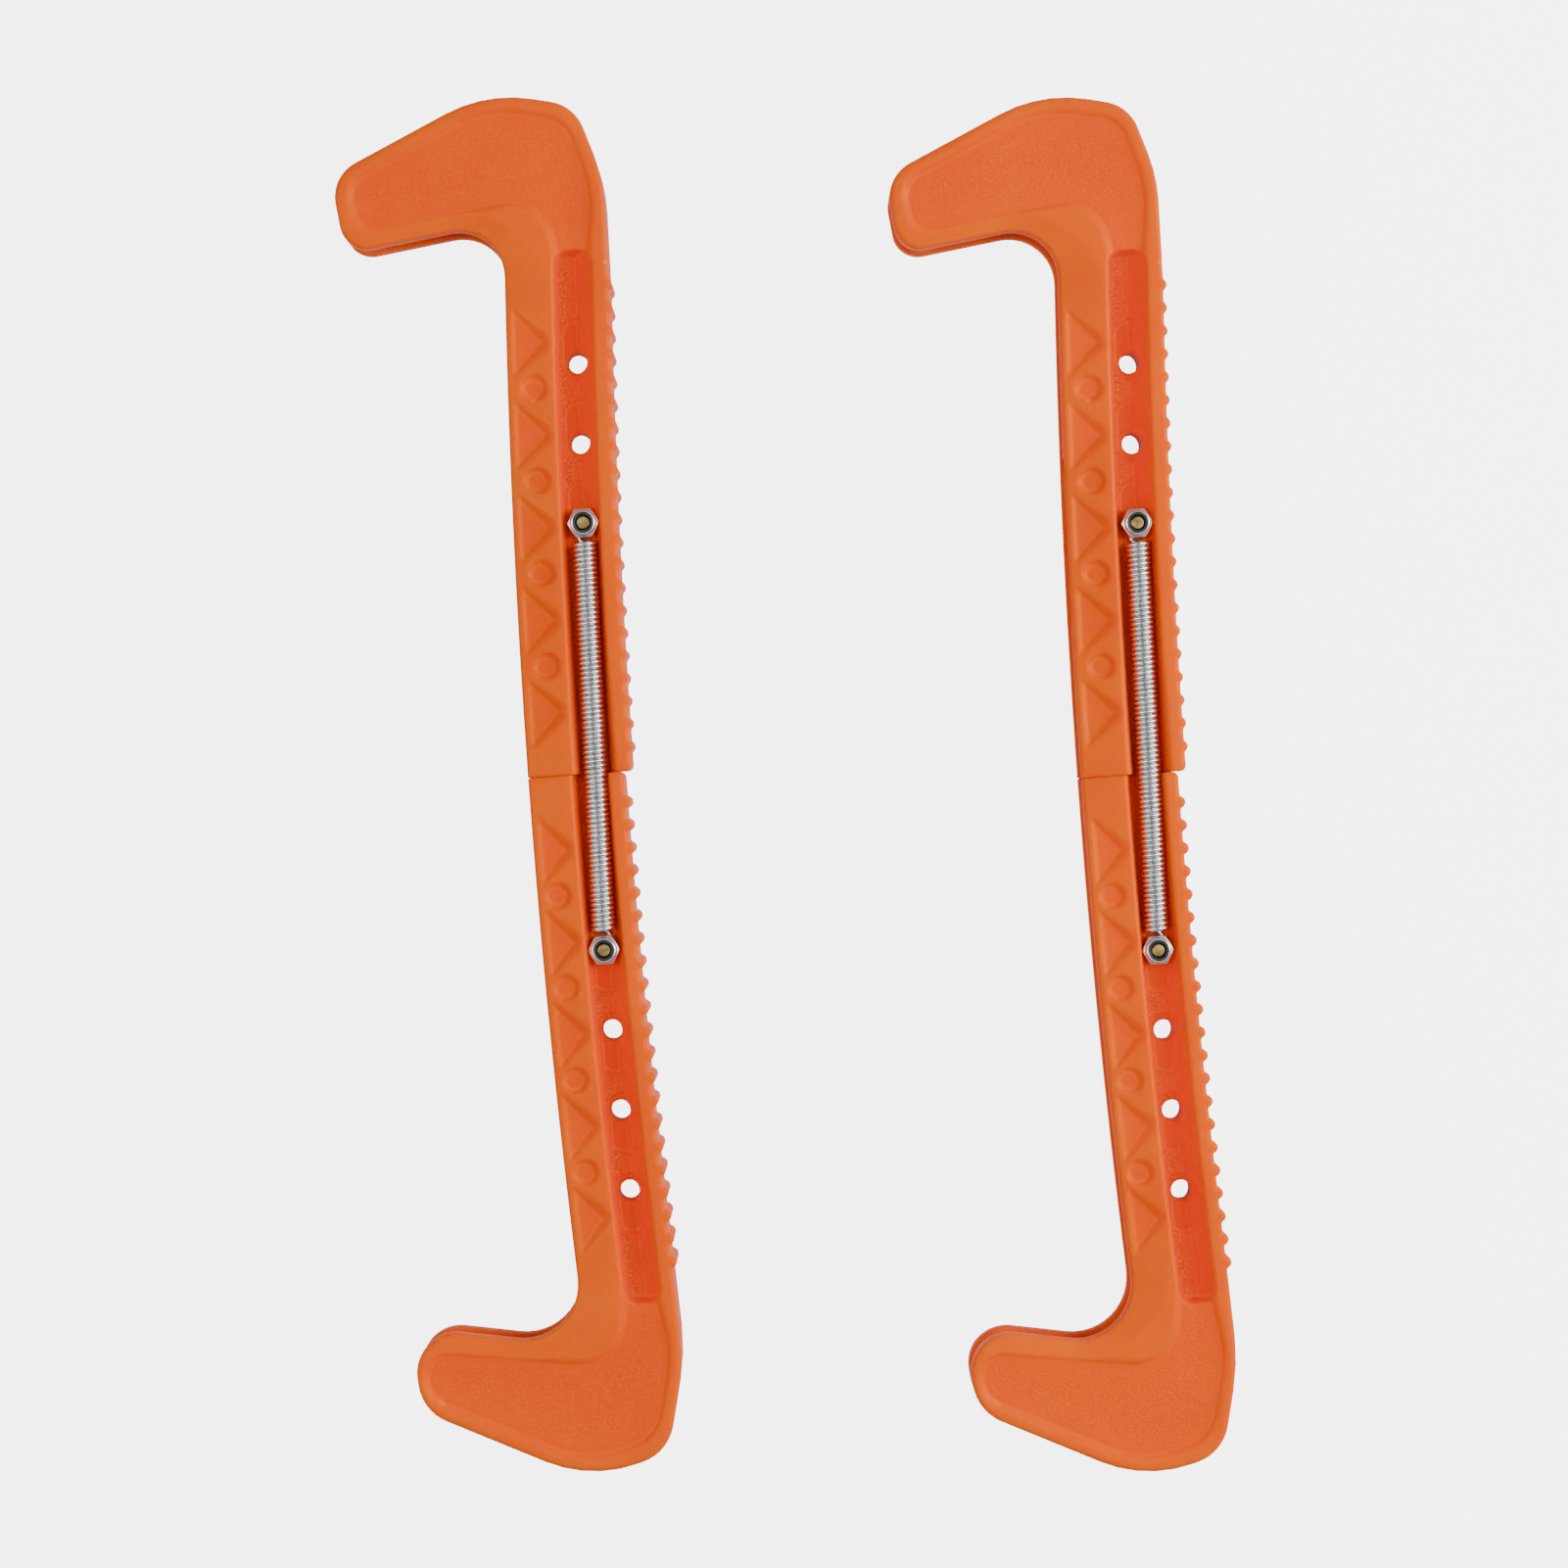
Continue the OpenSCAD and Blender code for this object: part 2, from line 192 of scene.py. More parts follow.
def rounded(corners):
    """Points of an outline whose corners (x, y, r) are rounded to their radius."""
    points = []
    for i, (x, y, r) in enumerate(corners):
        p = np.array([x, y])
        if r == 0:
            points.append(p)
            continue
        before, after = (np.array(corners[j][:2]) - p for j in (i - 1, (i + 1) % len(corners)))
        a, b = before / np.linalg.norm(before), after / np.linalg.norm(after)
        half = math.acos(a @ b) / 2
        centre = p + (a + b) / np.linalg.norm(a + b) * r / math.sin(half)
        start, end = (p + v * r / math.tan(half) - centre for v in (a, b))
        t0 = math.atan2(start[1], start[0])
        sweep = (math.atan2(end[1], end[0]) - t0 + math.pi) % (2 * math.pi) - math.pi
        for t in np.linspace(t0, t0 + sweep, max(3, int(abs(sweep) / 0.15) + 2)):
            points.append(centre + r * np.array([math.cos(t), math.sin(t)]))
    return np.array(points)


def bolt_place(half):
    """Where a half's bolt goes through the guard."""
    x, y = to_plane(half["bolt_depth"], half["bolt_along"])
    return np.array([x, half["side"] * y])


TOE_BOLT = bolt_place(TOE)
HEEL_BOLT = bolt_place(HEEL)


def nearest_of_row(along, first, pitch, last):
    """Where the nearest of a row of equal features lies, the last of them numbered from 0."""
    return first + pitch * np.clip(np.round((along - first) / pitch), 0, last)


def outline_distance(corners, x, y):
    """Signed distance from (x, y) to a closed outline."""
    points = rounded(corners)
    nearest = np.full(x.shape, np.inf)
    inside = np.zeros(x.shape, bool)
    for (ax, ay), (bx, by) in zip(points, np.roll(points, -1, axis=0)):
        ex, ey = bx - ax, by - ay
        t = np.clip(((x - ax) * ex + (y - ay) * ey) / (ex * ex + ey * ey), 0, 1)
        nearest = np.minimum(nearest, (x - ax - t * ex) ** 2 + (y - ay - t * ey) ** 2)
        if ey:
            inside ^= ((ay > y) != (by > y)) & (x < ex * (y - ay) / ey + ax)
    return np.where(inside, -1, 1) * np.sqrt(nearest)


class Table:
    """Values on a fine plan grid, read back by interpolation."""

    def __init__(self, values, low):
        self.values, self.low = values, low

    def __call__(self, depth, along):
        rows, columns = self.values.shape
        i = np.clip((depth - self.low[0]) / FINE, 0, rows - 1.001)
        j = np.clip((along - self.low[1]) / FINE, 0, columns - 1.001)
        i0, j0 = i.astype(int), j.astype(int)
        u, v = i - i0, j - j0
        near = self.values[i0, j0] * (1 - v) + self.values[i0, j0 + 1] * v
        far = self.values[i0 + 1, j0] * (1 - v) + self.values[i0 + 1, j0 + 1] * v
        return near * (1 - u) + far * u


# ---------------------------------------------------------------- from distances to meshes

def along_axis(values, axis, part):
    key = [slice(None)] * 3
    key[axis] = part
    return values[tuple(key)]


def relaxed(points, quads):
    """Points moved halfway towards the middle of their neighbours."""
    ends = np.concatenate([quads[:, [a, b]] for a, b in ((0, 1), (1, 2), (2, 3), (3, 0))])
    starts, others = ends.ravel(), ends[:, ::-1].ravel()
    count = np.bincount(starts, minlength=len(points))
    middle = [np.bincount(starts, points[others, axis], len(points)) / count for axis in range(3)]
    return (points + np.stack(middle, axis=1)) / 2


def surface_mesh(field, low, high, step):
    """Vertices (in the field's coordinates) and quads of the surface where the field is zero."""
    axes = [np.arange(a, b + step, step) for a, b in zip(low, high)]
    grid = np.ix_(*axes)
    values = np.broadcast_to(field(*grid), [len(a) for a in axes])
    inside = values < 0
    cells = [n - 1 for n in values.shape]
    total = np.zeros((*cells, 3), np.float32)
    count = np.zeros(cells, np.float32)
    crossings = []
    for axis in range(3):
        u, w = (axis + 1) % 3, (axis + 2) % 3
        v0, v1 = along_axis(values, axis, slice(None, -1)), along_axis(values, axis, slice(1, None))
        crossed = along_axis(inside, axis, slice(None, -1)) != along_axis(inside, axis, slice(1, None))
        part = np.where(crossed, v0 / np.where(crossed, v0 - v1, 1), 0)
        for du in (0, 1):
            for dw in (0, 1):
                key = [slice(None)] * 3
                key[u], key[w] = slice(du, du + cells[u]), slice(dw, dw + cells[w])
                hit = crossed[tuple(key)]
                count += hit
                total[..., axis] += part[tuple(key)]
                total[..., u] += du * hit
                total[..., w] += dw * hit
        crossings.append(crossed)
    used = count > 0
    number = np.full(cells, -1)
    number[used] = np.arange(used.sum())
    points = (np.argwhere(used) + total[used] / count[used][:, None]) * step + np.array(low)

    quads = []
    for axis, crossed in enumerate(crossings):
        u, w = (axis + 1) % 3, (axis + 2) % 3
        spot = np.argwhere(crossed)
        spot = spot[(spot[:, u] > 0) & (spot[:, w] > 0) & (spot[:, u] < cells[u]) & (spot[:, w] < cells[w])]
        corners = []
        for du, dw in ((1, 1), (0, 1), (0, 0), (1, 0)):
            cell = spot.copy()
            cell[:, u] -= du
            cell[:, w] -= dw
            corners.append(number[tuple(cell.T)])
        quad = np.stack(corners, axis=1)
        leaving = inside[tuple(spot.T)]
        quad[leaving] = quad[leaving][:, ::-1]
        quads.append(quad)
    quads = np.concatenate(quads)

    for turn in range(5):
        if turn < 2:
            points = relaxed(points, quads)
        here = field(*points.T)
        slope = np.stack([field(*(points + d).T) - here for d in np.eye(3) * 0.02], axis=1) / 0.02
        move = slope * (here / np.maximum((slope ** 2).sum(1), 0.2))[:, None]
        points -= np.clip(move, -step / 3, step / 3)
    return points, quads


def make_object(name, points, faces, material, values):
    """A smooth-shaded mesh from millimetre points, with named values per vertex."""
    mesh = bpy.data.meshes.new(name)
    mesh.from_pydata((points * MM).tolist(), [], faces.tolist())
    mesh.polygons.foreach_set("use_smooth", [True] * len(mesh.polygons))
    for key, numbers in (values or {}).items():
        layer = mesh.attributes.new(key, "FLOAT", "POINT")
        layer.data.foreach_set("value", numbers.astype(np.float32))
    mesh.materials.append(material)
    obj = bpy.data.objects.new(name, mesh)
    bpy.context.collection.objects.link(obj)
    return obj


# ---------------------------------------------------------------- shells

def motif_distances(half, depth, along):
    """Distances to the nearest recessed disc and to the nearest arrowhead."""
    disc_at = nearest_of_row(along, half["disc_along"], MOTIF_PITCH, 3)
    disc = np.hypot(depth - half["disc_depth"], along - disc_at) - DISC_R
    arrow_at = nearest_of_row(along, half["tri_along"], MOTIF_PITCH, 4)
    arrowhead = [(0.8, -ARROW_HALF, 0), (half["tip_depth"], 0, 1.4), (0.8, ARROW_HALF, 0)]
    return disc, outline_distance(arrowhead, depth, along - arrow_at)


def seat_distance(half, depth, along):
    """Distance to the sunk floor round the bolt and the spare holes."""
    distance = along - half["bolt_along"]
    for i in range(half["holes"]):
        off = along - half["bolt_along"] - i * HOLE_PITCH - SEAT_RUN / 2
        past = np.maximum(np.abs(off) - SEAT_RUN / 2, 0)
        distance = np.minimum(distance, np.hypot(depth - half["bolt_depth"], past) - SEAT_R)
    return distance


def side_wall(half, along, x, y):
    """Distance from the middle plane to the plain side wall, which leans in towards the rim."""
    inner, beyond = half["hook"][:2]
    run = (beyond[1] - inner[1]) / (beyond[0] - inner[0])
    clear = [(OFF_X, OFF_Y, 0)] + bow(0, OFF_Y, half["straight"], 24) + [
        inner, (OFF_X, inner[1] + run * (OFF_X - inner[0]), 0)]
    from_rim = outline_distance(clear, x, y)
    band = half["band"] + (half["ridge"] - 0.7 - half["band"]) * (1 - ease(94, 110, along))
    lean = np.clip((band - from_rim) / (band - 0.9), 0, 1)
    return MID - (MID - RIM_HALF) * lean


def with_motifs(half, face, depth, along):
    """The side face with the discs and arrowheads sunk in it."""
    disc, arrow = motif_distances(half, depth, along)
    near_rim = 0.25 * (1 - ease(0.8, 2.0, depth))
    bowl = MOTIF_HALF - 0.4 + 0.15 * np.clip(-disc / DISC_R, 0, 1) ** 2
    face = smooth_min(face, bowl + 1.1 * np.maximum(disc + 0.75, 0), 0.3)
    return smooth_min(face, MOTIF_HALF - 0.3 + near_rim + 0.7 * np.maximum(arrow + 0.8, 0), 0.35)


def spring_groove(half, depth, along):
    """Distances from the middle plane to the groove's surface and its floor, and the floor's grain, which
    also weights painted glints.
    """
    corner = np.clip(half["ridge"] + CORNER_W - depth, 0, CORNER_W)
    raised = ease(0, 0.3, seat_distance(half, depth, along)) * (along > half["bolt_along"])
    floor = WEB_HALF + (FLOOR_HALF + 0.45 * corner ** 2 - WEB_HALF) * raised
    wide = (half["groove_end"] - half["ridge"]) / 2
    qx = np.abs(depth - half["ridge"] - wide) - wide + GROOVE_END_R
    qy = along - half["groove_len"] + GROOVE_END_R
    outline = np.hypot(np.maximum(qx, 0), np.maximum(qy, 0)) + np.minimum(np.maximum(qx, qy), 0)
    outline -= GROOVE_END_R
    widening = ease(half["bolt_along"] - 4, half["bolt_along"] + 8, along)
    slope_w = SPRING_SLOPE_W + (half["slope_w"] - SPRING_SLOPE_W) * widening
    climb = np.clip((depth - half["groove_end"] + slope_w) / (slope_w + 0.35), 0, 1)
    slope = floor + (MID - floor) * climb
    trough = smooth_max(smooth_max(MID + END_SLOPE * outline, floor, 0.5), slope, 0.3)
    return trough, floor, raised * (outline < 0) * (0.4 + (corner > 0))


def half_thickness(half, depth, along, x, y):
    """Distance from the middle plane to the side face, with a painted-shade weight that grows with how far
    it is sunk, and how grainy it is, which also weights painted glints.
    """
    wall = side_wall(half, along, x, y)
    panel = outline_distance(half["panel"], x, y)
    dished = PANEL_HALF - PANEL_DISH * ease(0, 6, -panel)
    face = smooth_min(wall, dished + 0.75 * np.maximum(panel, 0), 0.35)
    face = with_motifs(half, face, depth, along)
    trough, floor, groove_grain_and_glints = spring_groove(half, depth, along)
    soft = half["soft_ridge"] + (0.35 - half["soft_ridge"]) * ease(6, 32, along)
    face = smooth_min(face, trough, soft)
    grain = np.maximum(ease(0.3, 1.5, -panel) * 0.4, groove_grain_and_glints * (face < floor + 0.3))
    return face, 1 - np.exp((face - wall) / RECESS_SHADE_FADE), grain


def shell_plan(half):
    """The plan tables of one half."""
    low = (-36.0, -0.6)
    depth, along = np.meshgrid(np.arange(low[0], 25, FINE), np.arange(low[1], 141, FINE), indexing="ij")
    x, y = to_plane(depth, along)
    height, straight = half["height"], half["straight"]
    outline = bow(0, LOOK_GAP, straight) + half["hook"] + bow(height, straight, 2)
    edge = outline_distance(outline + [(height, LOOK_GAP, 1.2)], x, y)
    rib_at = nearest_of_row(along, half["rib_along"], RIB_PITCH, RIB_COUNT - 1)
    rib = np.hypot(depth - height + half["rib_sunk"], along - rib_at) - RIB_R
    edge = smooth_min(edge, rib, 0.25)

    face, sunk, grain = half_thickness(half, depth, along, x, y)
    fall = np.hypot(*np.gradient(face, FINE))
    slot_start = TONGUE_LEN - 5 if half["side"] > 0 else -5
    floor_line = bow(CHANNEL_DEPTH, slot_start, 100)
    slot = outline_distance([(-50, slot_start, 0)] + floor_line + half["slot"], x, y)
    hole = np.full(depth.shape, 100.0)
    for i in range(half["holes"]):
        hx, hy = to_plane(half["bolt_depth"], half["bolt_along"] + i * HOLE_PITCH)
        hole = np.minimum(hole, np.hypot(x - hx, y - hy) - HOLE_R)
    tables = dict(edge=edge, face=face, sunk=sunk, grain=grain, slot=slot, hole=hole,
                  scale=1 / np.hypot(1, fall))
    return {key: Table(table, low) for key, table in tables.items()}


def box_field(x, y, w, x_range, y_range, half_width):
    """Distance to an upright box, half_width to each side of the middle plane."""
    return np.maximum(np.maximum(slab(x, *x_range), slab(y, *y_range)), w - half_width)


def shell_field(half):
    """The signed distance of one half in (depth, along, z), and its plan tables."""
    plan = shell_plan(half)

    def field(depth, along, z):
        w = np.abs(z - MID)
        x, y = to_plane(depth, along)
        solid = meet(plan["edge"](depth, along),
                     (w - plan["face"](depth, along)) * plan["scale"](depth, along),
                     0.22 + 0.58 * ease(0, 2, along))
        channel = np.maximum(plan["slot"](depth, along), w - CHANNEL_HALF)
        if half["side"] > 0:
            reach = TONGUE_LEN + SOCKET_SPARE
            inner = box_field(x, y, w, (LIP_DEPTH, 8.3), (-3, reach), SOCKET_HALF)
            beyond = box_field(x, y, w, (-5, LIP_DEPTH + 1), (LIP_LEN, reach), SOCKET_HALF)
            mouth = box_field(x, y, w, (-5, LIP_DEPTH + 1), (-3, LIP_LEN + 1), 2.6)
            channel = np.minimum(channel, np.minimum(np.minimum(inner, beyond), mouth))
        else:
            tongue = meet(meet(slab(x, 1.35, 8), slab(y, -TONGUE_LEN, 4), 0.3), w - TONGUE_HALF, 0.3)
            solid = np.minimum(solid, tongue)
            hollow = box_field(x, y, w, (-50, 6.8), (-TONGUE_LEN - 2, 0.5), CHANNEL_HALF)
            channel = np.minimum(channel, hollow)
        return cut(cut(solid, channel, 0.3), plan["hole"](depth, along), 0.25)
    return field, plan


def shell_parts(half):
    """Points and faces of one half, and its values per vertex."""
    field, plan = shell_field(half)
    start = -1.0 if half["side"] > 0 else -TONGUE_LEN - 1
    step = SHELL_STEP * 1
    points, faces = surface_mesh(field, (-35.5, start, -0.6), (23, 139.5, 14.6), step)
    depth, along, z = points.T
    below = plan["face"](depth, along) - np.abs(z - MID)
    # Painted shade: the recess weight on the side faces, and a fixed half weight on the edges and walls
    # that lie below them, which paints darker outlines there.
    values = dict(grain=plan["grain"](depth, along) * (below < 0.6),
                  sunk=np.where(below < 0.6, plan["sunk"](depth, along), 0.5))
    x, y = to_plane(depth, along)
    if half["side"] < 0:
        faces = faces[:, ::-1]
    return np.stack([x, half["side"] * y, z], axis=1), faces, values


# ---------------------------------------------------------------- fasteners

def nut_field(x, y, z):
    """A lock nut standing on 0: a chamfered hexagon and a round collar that holds the insert."""
    r = np.hypot(x, y)
    flats = np.maximum(np.abs(y), np.abs(x) * math.sin(math.radians(60)) + np.abs(y) / 2) - NUT_FLATS / 2
    cone = np.maximum(z - NUT_HEX_H, -z) + (r - 2.62) * 0.5
    hexagon = meet(meet(flats, slab(z, 0, NUT_HEX_H), 0.08), cone * 0.9, 0.08)
    collar = meet(r - COLLAR_R, slab(z, 0, NUT_H), 0.55)
    pocket = np.maximum(r - INSERT_R - SNUG, NUT_H - 0.2 - INSERT_H - z)
    bore = np.minimum(r - BOLT_R - SNUG, pocket)
    return cut(smooth_min(hexagon, collar, 0.15), bore, 0.1)


def insert_field(x, y, z):
    """The nylon ring in a nut that stands on 0."""
    r = np.hypot(x, y)
    top = NUT_H - 0.15
    return meet(slab(r, BOLT_R + SNUG, INSERT_R), slab(z, top - INSERT_H, top), 0.16)


def bolt_field(x, y, z):
    """A pan-head bolt with its head's underside at 0 and its thread upwards."""
    r = np.hypot(x, y)
    tip = 2 * CLAMP_HALF + NUT_H - BOLT_SHORT
    wave = (z / THREAD_PITCH - np.arctan2(y, x) / (2 * math.pi)) % 1
    thread = (r - BOLT_R + THREAD_DEPTH * np.abs(wave - 0.5) * 2) * 0.7
    shank = meet(meet(thread, slab(z, -1, tip), 0.12), (r + z - tip - 1.15) * 0.7, 0.1)
    head = meet(r - HEAD_R, slab(z, -HEAD_H, 0), 0.3)
    head = meet(head, np.hypot(r, z - 2.4) - 4.62, 0.3)
    drive = np.minimum(meet(np.abs(x) - DRIVE_HALF, np.abs(y) - DRIVE_REACH, 0.1),
                       meet(np.abs(y) - DRIVE_HALF, np.abs(x) - DRIVE_REACH, 0.1))
    drive = np.maximum(drive + np.maximum(z + HEAD_H, 0) * 0.25, z + 1.0)
    return cut(np.minimum(shank, head), drive, 0.08)


# ---------------------------------------------------------------- springs

def sweep(path, radius, sides):
    """A closed tube of round wire along a path of points."""
    tangent = np.gradient(path, axis=0)
    tangent /= np.linalg.norm(tangent, axis=1)[:, None]
    normal = np.cross(tangent[0], [0.3, 0.2, 0.9])
    rings = []
    for p, t in zip(path, tangent):
        normal = normal - t * (normal @ t)
        normal /= np.linalg.norm(normal)
        turn = np.arange(sides) * 2 * math.pi / sides
        ring = np.cos(turn)[:, None] * normal + np.sin(turn)[:, None] * np.cross(t, normal)
        rings.append(p + radius * ring)
    points = np.concatenate(rings)
    i, k = np.meshgrid(np.arange(len(path) - 1), np.arange(sides), indexing="ij")
    a, b = (i * sides + k).ravel(), (i * sides + (k + 1) % sides).ravel()
    faces = np.stack([a, b, b + sides, a + sides], axis=1).tolist()
    faces.append(list(range(sides))[::-1])
    faces.append(list(range(len(points) - sides, len(points))))
    return points, faces


def spring_path():
    """Wire of one spring: u from the heel bolt to the toe bolt, v across, w out from the middle plane."""
    length = np.linalg.norm(TOE_BOLT - HEEL_BOLT)
    ring = np.radians(np.linspace(-385, -60, 30))
    loop = np.stack([LOOP_R * np.cos(ring), LOOP_R * np.sin(ring), np.full(30, LOOP_HALF)], axis=1)
    foot = np.array([COIL_GAP, 0, SPRING_HALF - COIL_R])
    t = np.linspace(0, 1, 10)[1:-1, None]
    c0, c1 = loop[-1] + 0.9 * np.array([0.87, 0.5, 0]), foot - [0, 1.1, 0]
    lead = (1 - t) ** 3 * loop[-1] + 3 * t * (1 - t) ** 2 * c0 + 3 * t ** 2 * (1 - t) * c1 + t ** 3 * foot
    turn = np.linspace(0, 2 * math.pi * TURNS, TURNS * 24 + 1)
    coil = np.stack([COIL_GAP + (length - 2 * COIL_GAP) * turn / turn[-1],
                     COIL_R * np.sin(turn), SPRING_HALF - COIL_R * np.cos(turn)], axis=1)
    start = np.concatenate([loop, lead])
    end = start[::-1] * [-1, -1, 1] + [length, 0, 0]
    path = np.concatenate([start, coil, end])
    u = np.append((TOE_BOLT - HEEL_BOLT) / length, 0)
    v = np.array([-u[1], u[0], 0])
    return np.append(HEEL_BOLT, MID) + path[:, :1] * u + path[:, 1:2] * v + path[:, 2:] * [0, 0, 1]


# ---------------------------------------------------------------- materials

class Nodes:
    """Short hand for building a node material."""

    def __init__(self, name):
        self.material = bpy.data.materials.new(name)
        self.material.use_nodes = True
        self.tree = self.material.node_tree
        self.shader = self.tree.nodes["Principled BSDF"]

    def add(self, kind, inputs=(), **settings):
        node = self.tree.nodes.new(kind)
        for key, value in settings.items():
            setattr(node, key, value)
        for key, value in dict(inputs).items():
            self.put(node, key, value)
        return node

    def put(self, node, key, value):
        if isinstance(value, bpy.types.NodeSocket):
            self.tree.links.new(value, node.inputs[key])
        else:
            node.inputs[key].default_value = value

    def noise(self, scale, detail=2.0, stretch=(1, 1, 1)):
        place = self.add("ShaderNodeTexCoord").outputs["Object"]
        if stretch != (1, 1, 1):
            place = self.add("ShaderNodeMapping", {"Vector": place, "Scale": stretch}).outputs["Vector"]
        inputs = {"Vector": place, "Scale": scale, "Detail": detail}
        return self.add("ShaderNodeTexNoise", inputs).outputs["Fac"]

    def ramp(self, value, low, high, out_low, out_high):
        node = self.add("ShaderNodeMapRange", {"Value": value, "From Min": low, "From Max": high,
                                               "To Min": out_low, "To Max": out_high})
        return node.outputs["Result"]

    def mix(self, factor, a, b):
        node = self.add("ShaderNodeMix", data_type="RGBA")
        self.put(node, 0, factor)
        for index, value in ((6, a), (7, b)):
            if isinstance(value, bpy.types.NodeSocket):
                self.tree.links.new(value, node.inputs[index])
            else:
                node.inputs[index].default_value = (*value, 1)
        return node.outputs[2]

    def times(self, a, b):
        return self.add("ShaderNodeMath", {0: a, 1: b}, operation="MULTIPLY").outputs["Value"]

    def bump(self, height, distance, strength=1.0, under=None):
        node = self.add("ShaderNodeBump", {"Height": height, "Distance": distance, "Strength": strength})
        if under:
            self.put(node, "Normal", under)
        return node.outputs["Normal"]


def orange_plastic():
    """Slightly translucent moulded plastic, grainy where it was etched, with painted shade in a deeper red
    in its recesses and along its edges and walls, painted glints on the grain and painted highlights on
    sharp edges.
    """
    m = Nodes("orange_plastic")
    tone = m.ramp(m.noise(45, 3), 0.35, 0.65, 0, 1)
    # Painted shade: a deeper, redder orange mixed in by the recess weight, in recesses and on edges and
    # walls.
    sunk = m.add("ShaderNodeAttribute", attribute_name="sunk").outputs["Fac"]
    colour = m.mix(sunk, m.mix(tone, (0.84, 0.108, 0.0), (0.90, 0.130, 0.0)),
                   m.mix(tone, (0.95, 0.052, 0.0), (0.98, 0.064, 0.0)))
    grain = m.add("ShaderNodeAttribute", attribute_name="grain").outputs["Fac"]
    # Painted glints: lighter specks on the grainy areas, standing in for light caught by the etched grain.
    painted_grain_glints = m.times(m.ramp(m.noise(2200, 2), 0.50, 0.66, 0, 0.6), grain)
    colour = m.mix(painted_grain_glints, colour, (1.0, 0.24, 0.04))
    # Painted highlight: the ridge and other sharp edges are lightened by their pointiness.
    edge = m.ramp(m.add("ShaderNodeNewGeometry").outputs["Pointiness"], 0.508, 0.57, 0, 0.7)
    colour = m.mix(edge, colour, (1.0, 0.24, 0.01))
    m.put(m.shader, "Base Color", colour)
    m.put(m.shader, "Roughness", m.ramp(m.noise(420, 2), 0.3, 0.7, 0.30, 0.42))
    m.put(m.shader, "Specular IOR Level", 0.25)
    m.put(m.shader, "Specular Tint", (1.0, 0.35, 0.05, 1.0))
    m.put(m.shader, "Subsurface Weight", 0.6)
    m.put(m.shader, "Subsurface Radius", (1.0, 0.1, 0.02))
    m.put(m.shader, "Subsurface Scale", 0.003)
    pits = m.bump(m.noise(2200, 3), 0.0005, m.times(grain, 0.9))
    skin = m.bump(m.noise(900, 2), 0.00004, 0.35, pits)
    waves = m.bump(m.noise(60, 1), 0.0004, 0.25, skin)
    m.put(m.shader, "Normal", waves)
    return m.material


def plated(name, light, dark, rough, scratch):
    """Bright plated steel: mottled colour and roughness, fine scratches, brighter edges."""
    m = Nodes(name)
    tone = m.ramp(m.noise(700, 4), 0.35, 0.65, 0, 1)
    colour = m.mix(tone, light, dark)
    edge = m.ramp(m.add("ShaderNodeNewGeometry").outputs["Pointiness"], 0.52, 0.62, 0, 0.6)
    m.put(m.shader, "Base Color", m.mix(edge, colour, (0.92, 0.92, 0.90)))
    m.put(m.shader, "Metallic", 1.0)
    m.put(m.shader, "Roughness", m.ramp(m.noise(1800, 3), 0.3, 0.7, rough - 0.06, rough + 0.1))
    m.put(m.shader, "Normal", m.bump(m.noise(1200, 3, scratch), 0.00003, 0.5))
    return m.material


def black_nylon():
    """Dull, slightly mottled nylon."""
    m = Nodes("black_nylon")
    m.put(m.shader, "Base Color", m.mix(m.noise(900, 3), (0.012, 0.012, 0.013), (0.030, 0.030, 0.032)))
    m.put(m.shader, "Roughness", m.ramp(m.noise(1500, 2), 0.3, 0.7, 0.4, 0.55))
    m.put(m.shader, "Normal", m.bump(m.noise(2500, 2), 0.00003, 0.5))
    return m.material


# ---------------------------------------------------------------- the pair

MATERIALS = {
    "shell_plastic": orange_plastic(),
    "spring_steel": plated("spring_steel", (0.84, 0.85, 0.86), (0.70, 0.71, 0.73), 0.24, (1, 1, 1)),
    "bright_zinc": plated("bright_zinc", (0.86, 0.87, 0.89), (0.74, 0.76, 0.80), 0.34, (1, 1, 6)),
    "yellow_zinc": plated("yellow_zinc", (0.54, 0.37, 0.14), (0.22, 0.13, 0.05), 0.42, (1, 1, 8)),
    "black_nylon": black_nylon(),
}


def place_piece(name, side, body, slot, points, faces, values=None):
    """Adds one guard's copy of a piece, standing for its CAD node."""
    node = side + "_" + name
    obj = make_object(node + "_look", points, faces, MATERIALS[slot], values)
    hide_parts(node)
    if body:
        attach(obj, side + "_" + body)
    return obj


def guard_origin(side):
    """Where a guard's own frame lies in the row frame, in mm, from its toe bolt."""
    low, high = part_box(side + "_toe_bolt")
    middle = np.array([(low[axis] + high[axis]) / 2 / MM for axis in (0, 1)])
    return np.append(middle - TOE_BOLT, 0)


def place_springs(side, origin, wire, faces):
    """The springs in the grooves of both faces, which stretch between the halves."""
    flipped = [face[::-1] for face in faces]
    for name, points, turned in (("near_spring", wire, faces),
                                 ("far_spring", wire * [1, 1, -1] + [0, 0, 2 * MID], flipped)):
        obj = place_piece(name, side, None, "spring_steel", points + origin, np.array(turned, object))
        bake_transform(obj)


